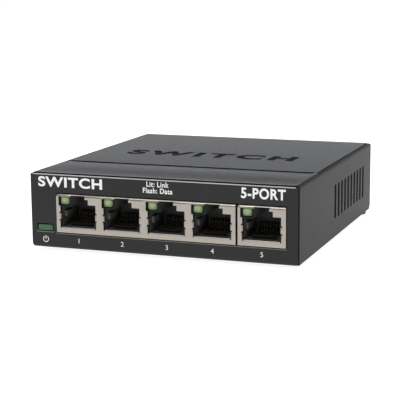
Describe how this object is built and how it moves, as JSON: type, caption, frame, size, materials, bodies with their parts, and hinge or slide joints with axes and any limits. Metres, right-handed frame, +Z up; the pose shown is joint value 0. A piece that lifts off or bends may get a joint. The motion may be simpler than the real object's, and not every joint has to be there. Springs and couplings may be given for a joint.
{
  "type": "desktop network switch",
  "caption": "Low black sheet-metal desktop network switch with a row of shielded modular sockets in front, side vents, a rear power inlet and rubber feet.",
  "frame": {"origin": "bottom centre: on the desk under the middle of the feet's plane, halfway along the depth and width", "axes": "+X to the right seen from the front, +Y from the ports to the back, +Z up"},
  "size_m": [0.094, 0.1014, 0.027],
  "materials": {
    "black_paint": "fine-textured black powder coat on folded sheet steel",
    "rubber": "matt black rubber",
    "nickel_shield": "satin nickel plate",
    "black_plastic": "matt moulded plastic",
    "gold_contact": "gold flash over spring bronze",
    "green_lens": "clear green lens",
    "green_window": "clear green light bar",
    "lamp_white": "surface-mounted lamp",
    "nickel_contact": "bright nickel plate",
    "black_screw": "black oxide",
    "steel_screw": "zinc plate",
    "board_green": "green solder mask on glass laminate",
    "can_silver": "bright drawn can",
    "ferrite": "matt pressed ferrite",
    "chip_black": "matt moulded epoxy"
  },
  "bodies": {
    "case": {"board_screw_1": "steel_screw", "board_screw_2": "steel_screw", "board_screw_3": "steel_screw", "board_screw_4": "steel_screw", "bottom_tray": "black_paint", "circuit_board": "board_green", "clock_crystal": "can_silver", "cover_screw_1": "black_screw", "cover_screw_2": "black_screw", "cover_screw_3": "black_screw", "cover_screw_4": "black_screw", "foot_front_left": "rubber", "foot_front_right": "rubber", "foot_rear_left": "rubber", "foot_rear_right": "rubber", "port_light_1": "green_lens", "port_light_2": "green_lens", "port_light_3": "green_lens", "port_light_4": "green_lens", "port_light_5": "green_lens", "port_transformer_1": "chip_black", "port_transformer_2": "chip_black", "port_transformer_3": "chip_black", "port_transformer_4": "chip_black", "port_transformer_5": "chip_black", "power_inductor_1": "ferrite", "power_inductor_2": "ferrite", "power_inlet_housing": "black_plastic", "power_inlet_pin": "nickel_contact", "power_lamp": "lamp_white", "power_light_pipe": "green_window", "quad_port_housing": "black_plastic", "quad_port_shield": "nickel_shield", "regulator_chip_1": "chip_black", "regulator_chip_2": "chip_black", "round_capacitor_1": "can_silver", "round_capacitor_2": "can_silver", "round_capacitor_3": "can_silver", "settings_chip": "chip_black", "single_port_housing": "black_plastic", "single_port_shield": "nickel_shield", "switch_chip": "chip_black", "top_cover": "black_paint"},
    "contacts_1": {"port_contacts_1": "gold_contact"},
    "contacts_2": {"port_contacts_2": "gold_contact"},
    "contacts_3": {"port_contacts_3": "gold_contact"},
    "contacts_4": {"port_contacts_4": "gold_contact"},
    "contacts_5": {"port_contacts_5": "gold_contact"},
    "power_leaf": {"power_inlet_leaf": "nickel_contact"}
  },
  "joints": [
    {"name": "port_1_contacts_flex", "type": "hinge", "parent": "case", "child": "contacts_1", "pos_m": [-0.02937, -0.04795, 0.00975], "axis": [-1, 0, 0], "range_deg": [0, 8], "stiffness_Nm_per_rad": 0.05},
    {"name": "port_2_contacts_flex", "type": "hinge", "parent": "case", "child": "contacts_2", "pos_m": [-0.01353, -0.04795, 0.00975], "axis": [-1, 0, 0], "range_deg": [0, 8], "stiffness_Nm_per_rad": 0.05},
    {"name": "port_3_contacts_flex", "type": "hinge", "parent": "case", "child": "contacts_3", "pos_m": [0.00232, -0.04795, 0.00975], "axis": [-1, 0, 0], "range_deg": [0, 8], "stiffness_Nm_per_rad": 0.05},
    {"name": "port_4_contacts_flex", "type": "hinge", "parent": "case", "child": "contacts_4", "pos_m": [0.01818, -0.04795, 0.00975], "axis": [-1, 0, 0], "range_deg": [0, 8], "stiffness_Nm_per_rad": 0.05},
    {"name": "port_5_contacts_flex", "type": "hinge", "parent": "case", "child": "contacts_5", "pos_m": [0.0349, -0.04795, 0.00975], "axis": [-1, 0, 0], "range_deg": [0, 8], "stiffness_Nm_per_rad": 0.05},
    {"name": "power_leaf_flex", "type": "hinge", "parent": "case", "child": "power_leaf", "pos_m": [-0.03, 0.04195, 0.009], "axis": [-1, 0, 0], "range_deg": [0, 6], "stiffness_Nm_per_rad": 0.03}
  ]
}
